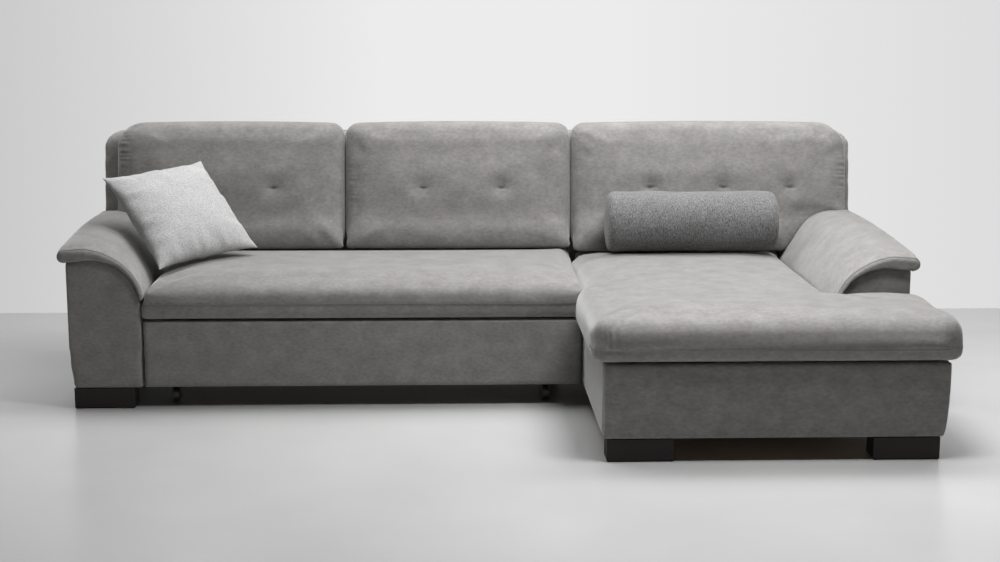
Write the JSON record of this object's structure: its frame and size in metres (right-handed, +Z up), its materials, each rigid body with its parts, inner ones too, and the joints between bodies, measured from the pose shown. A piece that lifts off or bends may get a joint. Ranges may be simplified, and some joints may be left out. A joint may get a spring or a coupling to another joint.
{
  "type": "corner sofa bed",
  "caption": "Corner sofa bed with an upholstered chaise whose seat lifts on swing arms over a storage box, and a bed drawer that rolls out from under the bench seat.",
  "frame": {"origin": "on the floor, at the centre of the bounding box in plan", "axes": "+X to the viewer's right along the back, +Y from the seat fronts to the back, +Z up"},
  "size_m": [2.772, 1.585, 0.8862],
  "materials": {
    "upholstery": "soft brushed microfibre with a faint sheen",
    "scatter_cover": "flecked wool-look weave",
    "bolster_cover": "fine tweed weave",
    "foot_wood": "dark stain, satin lacquer",
    "board": "raw board",
    "steel": "black powder coat",
    "wheel_plastic": "moulded nylon",
    "webbing": "woven elastic strap"
  },
  "bodies": {
    "frame": {"left_arm_core": "upholstery", "left_arm_pad": "upholstery", "right_arm_core": "upholstery", "right_arm_pad": "upholstery", "sofa_back_shell": "upholstery", "chaise_back_shell": "upholstery", "back_cushion_left": "upholstery", "back_cushion_middle": "upholstery", "back_cushion_right": "upholstery", "seat_cushion": "upholstery", "seat_frame": "board", "seat_webbing": "webbing", "sofa_end_panel": "board", "module_connectors": "steel", "drawer_rail_left": "steel", "drawer_rail_right": "steel", "chaise_front_panel": "upholstery", "chaise_left_panel": "upholstery", "chaise_right_panel": "upholstery", "chaise_floor": "board", "chaise_arm_panel": "board", "chaise_rear_rail": "upholstery", "foot_left_front": "foot_wood", "foot_chaise_front_left": "foot_wood", "foot_chaise_front_right": "foot_wood", "foot_rear_left": "foot_wood", "foot_rear_middle": "foot_wood", "foot_rear_right": "foot_wood", "lid_guide_plate_left": "steel", "lid_guide_plate_right": "steel"},
    "lid_arms": {"lid_arm_left": "steel", "lid_arm_right": "steel"},
    "chaise_lid": {"lid_board": "board", "chaise_cushion": "upholstery", "lid_bracket_left": "steel", "lid_bracket_right": "steel"},
    "bed_drawer": {"drawer_front": "upholstery", "drawer_side_left": "board", "drawer_side_right": "board", "drawer_cross_rails": "board", "bed_frame": "board", "bed_cushion": "upholstery", "bed_lift_arms_left": "steel", "bed_lift_arms_right": "steel", "caster_fork_left": "steel", "caster_fork_right": "steel", "roller_axle_left": "steel", "roller_axle_right": "steel"},
    "caster_wheel_left": {"caster_wheel_left": "wheel_plastic"},
    "caster_wheel_right": {"caster_wheel_right": "wheel_plastic"},
    "drawer_roller_left": {"drawer_roller_left": "wheel_plastic"},
    "drawer_roller_right": {"drawer_roller_right": "wheel_plastic"},
    "scatter_cushion": {"scatter_cushion": "scatter_cover"},
    "bolster": {"bolster": "bolster_cover"}
  },
  "joints": [
    {"name": "drawer_pull", "type": "slide", "parent": "frame", "child": "bed_drawer", "axis": [0, -1, 0], "range_m": [0, 0.6]},
    {"name": "lid_arm_swing", "type": "hinge", "parent": "frame", "child": "lid_arms", "pos_m": [0, 0.23775, 0.15586], "axis": [1, 0, 0], "range_deg": [0, 65]},
    {"name": "lid_tilt", "type": "hinge", "parent": "lid_arms", "child": "chaise_lid", "pos_m": [0, 0.3975, 0.214], "axis": [-1, 0, 0], "range_deg": [0, 85]},
    {"name": "caster_left_roll", "type": "hinge", "parent": "bed_drawer", "child": "caster_wheel_left", "pos_m": [-1.026, -0.0315, 0.0254], "axis": [1, 0, 0], "range_deg": [0, 1400]},
    {"name": "caster_right_roll", "type": "hinge", "parent": "bed_drawer", "child": "caster_wheel_right", "pos_m": [0.208, -0.0315, 0.0254], "axis": [1, 0, 0], "range_deg": [0, 1400]},
    {"name": "roller_left_roll", "type": "hinge", "parent": "bed_drawer", "child": "drawer_roller_left", "pos_m": [-1.113, 0.5085, 0.1364], "axis": [1, 0, 0], "range_deg": [0, 1450]},
    {"name": "roller_right_roll", "type": "hinge", "parent": "bed_drawer", "child": "drawer_roller_right", "pos_m": [0.295, 0.5085, 0.1364], "axis": [1, 0, 0], "range_deg": [0, 1450]},
    {"name": "scatter_lift", "type": "slide", "parent": "frame", "child": "scatter_cushion", "axis": [0.299, -0.3986, 0.867], "range_m": [0, 0.5]},
    {"name": "bolster_lift", "type": "slide", "parent": "chaise_lid", "child": "bolster", "axis": [0, -0.5736, 0.8192], "range_m": [0, 0.4]}
  ],
  "couplings": [
    {"joint": "lid_arm_swing", "follows": "lid_tilt", "ratio": 0.76471},
    {"joint": "caster_left_roll", "follows": "drawer_pull", "rad_per_m": 40},
    {"joint": "caster_right_roll", "follows": "drawer_pull", "rad_per_m": 40},
    {"joint": "roller_left_roll", "follows": "drawer_pull", "rad_per_m": 41.667},
    {"joint": "roller_right_roll", "follows": "drawer_pull", "rad_per_m": 41.667}
  ]
}
